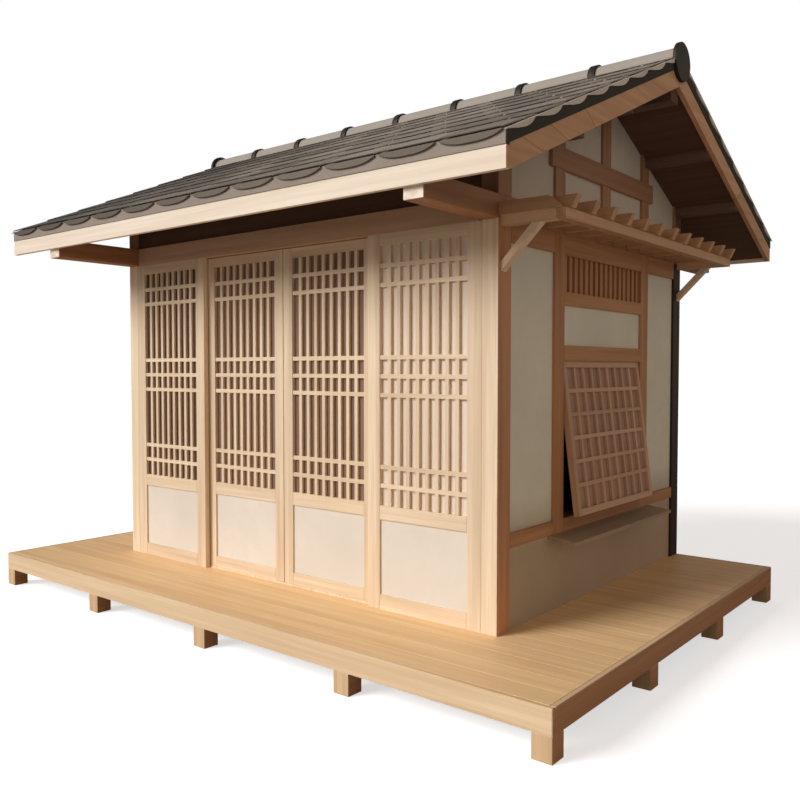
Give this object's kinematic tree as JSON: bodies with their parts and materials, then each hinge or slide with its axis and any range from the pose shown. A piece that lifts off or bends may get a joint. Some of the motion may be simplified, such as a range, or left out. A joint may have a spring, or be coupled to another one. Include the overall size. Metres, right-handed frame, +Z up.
{
  "type": "timber cabin",
  "caption": "Small gabled timber cabin on a raised deck, with sliding lattice doors, a propped lattice window, a slatted awning and a shingle roof.",
  "frame": {"origin": "on the ground, midway along the deck and under the ridge line, which is midway between the two eaves", "axes": "+X along the front wall towards the window gable, +Y from the front wall to the back wall, +Z up"},
  "size_m": [4.514, 3.78, 3.4525],
  "materials": {
    "deck_wood": "oiled boards",
    "rim_wood": "planed, oiled",
    "under_wood": "sawn",
    "post_wood": "planed, oiled",
    "front_wood": "planed, oiled",
    "cream_board": "matte paint",
    "dark_backing": "dark stain",
    "beam_wood": "planed, oiled",
    "dark_board": "dark stain",
    "wall_wood": "planed, oiled",
    "plaster": "fine matte plaster",
    "sash_wood": "planed, oiled",
    "sash_paper": "matte paper",
    "shelf_wood": "planed, oiled",
    "rafter_wood": "sawn",
    "shingle": "mineral grit",
    "fascia_wood": "planed, oiled",
    "barge_wood": "planed, oiled",
    "ridge_tile": "matte fired tile",
    "ridge_black": "satin black",
    "awning_wood": "planed, oiled"
  },
  "bodies": {
    "cabin": {"deck_boards": "deck_wood", "deck_rim": "rim_wood", "deck_joists": "under_wood", "deck_legs": "under_wood", "corner_posts": "post_wood", "left_panel": "front_wood", "right_panel": "front_wood", "panel_infills": "cream_board", "left_panel_backing": "dark_backing", "right_panel_backing": "cream_board", "door_sill": "post_wood", "front_head_beam": "beam_wood", "front_upper_board": "dark_board", "side_beams": "beam_wood", "wall_plates": "beam_wood", "right_wall_frame": "wall_wood", "right_wall_plaster": "plaster", "louver_slats": "wall_wood", "window_sash": "sash_wood", "window_paper": "sash_paper", "window_shelf": "shelf_wood", "left_wall_frame": "wall_wood", "left_wall_plaster": "plaster", "back_wall_frame": "wall_wood", "back_wall_plaster": "plaster", "gable_frames": "wall_wood", "gable_plaster": "plaster", "purlins": "beam_wood", "rafters": "rafter_wood", "soffit_boards": "dark_board", "roof_boards": "dark_board", "shingles": "shingle", "fascia_boards": "fascia_wood", "barge_boards": "barge_wood", "ridge_cap": "ridge_tile", "ridge_collars": "ridge_black", "awning_brackets": "awning_wood", "awning_beam": "awning_wood", "awning_rafters": "awning_wood"},
    "left_door": {"left_door": "front_wood", "left_door_infill": "cream_board", "left_door_backing": "dark_backing"},
    "right_door": {"right_door": "front_wood", "right_door_infill": "cream_board", "right_door_backing": "dark_backing"}
  },
  "joints": [
    {"name": "left_door_slide", "type": "slide", "parent": "cabin", "child": "left_door", "axis": [-1, 0, 0], "range_m": [0, 0.73]},
    {"name": "right_door_slide", "type": "slide", "parent": "cabin", "child": "right_door", "axis": [1, 0, 0], "range_m": [0, 0.73]}
  ]
}
